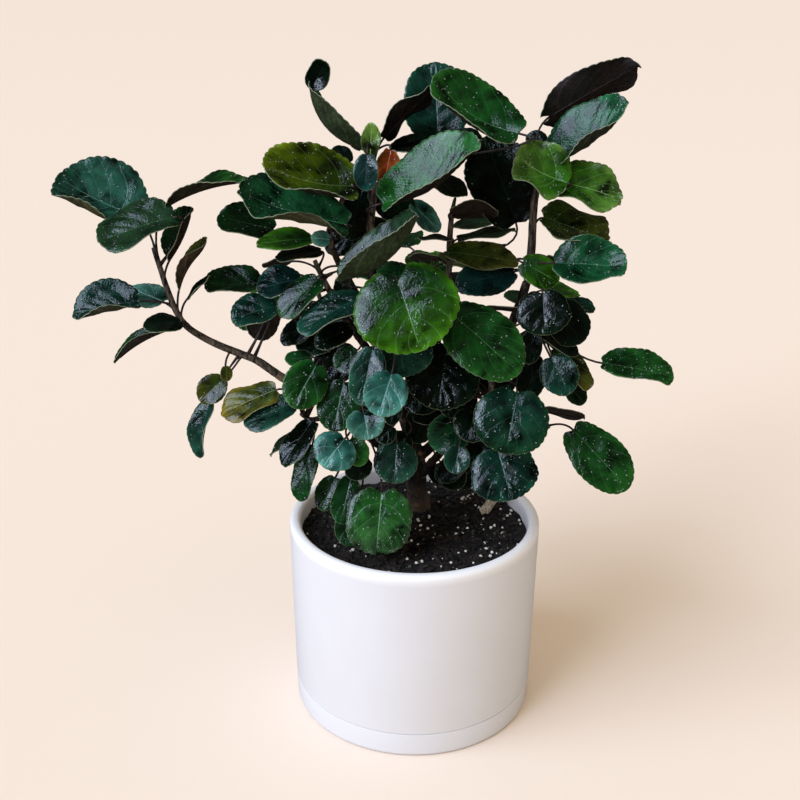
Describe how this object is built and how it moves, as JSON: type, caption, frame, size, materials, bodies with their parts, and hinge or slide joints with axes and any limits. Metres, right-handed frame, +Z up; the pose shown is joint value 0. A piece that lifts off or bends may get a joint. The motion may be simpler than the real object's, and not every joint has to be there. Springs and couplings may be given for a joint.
{
  "type": "potted plant",
  "caption": "Bushy foliage plant with round, scalloped leaves on thin stalks and a forked woody trunk, in a plain white cylinder pot on a flush saucer.",
  "frame": {"origin": "centre of the saucer's underside, on the surface that the pot stands on", "axes": "+Z up along the pot's axis, which is the object's longest side; -Y towards the pictured front; +X to the right in the picture"},
  "size_m": [0.4055, 0.2425, 0.4609],
  "materials": {
    "pot_white": "white, soft satin",
    "soil": "dark potting mix with bark and white perlite",
    "bark": "rough brown bark",
    "dry_wood": "weathered, bare",
    "leaf": "glossy dark green, brown-green beneath"
  },
  "bodies": {
    "root": {"saucer": "pot_white", "pot": "pot_white", "soil": "soil", "trunk": "bark", "cut_stub": "dry_wood", "shoot_left": "leaf", "shoot_left_low": "leaf", "shoot_left_mid": "leaf", "shoot_left_top": "leaf", "shoot_top": "leaf", "shoot_centre": "leaf", "shoot_right": "leaf", "shoot_right_mid": "leaf", "shoot_right_low": "leaf", "shoot_front": "leaf", "shoot_front_right": "leaf", "shoot_front_left": "leaf", "shoot_back": "leaf", "shoot_back_left": "leaf", "shoot_back_right": "leaf"}
  },
  "joints": []
}
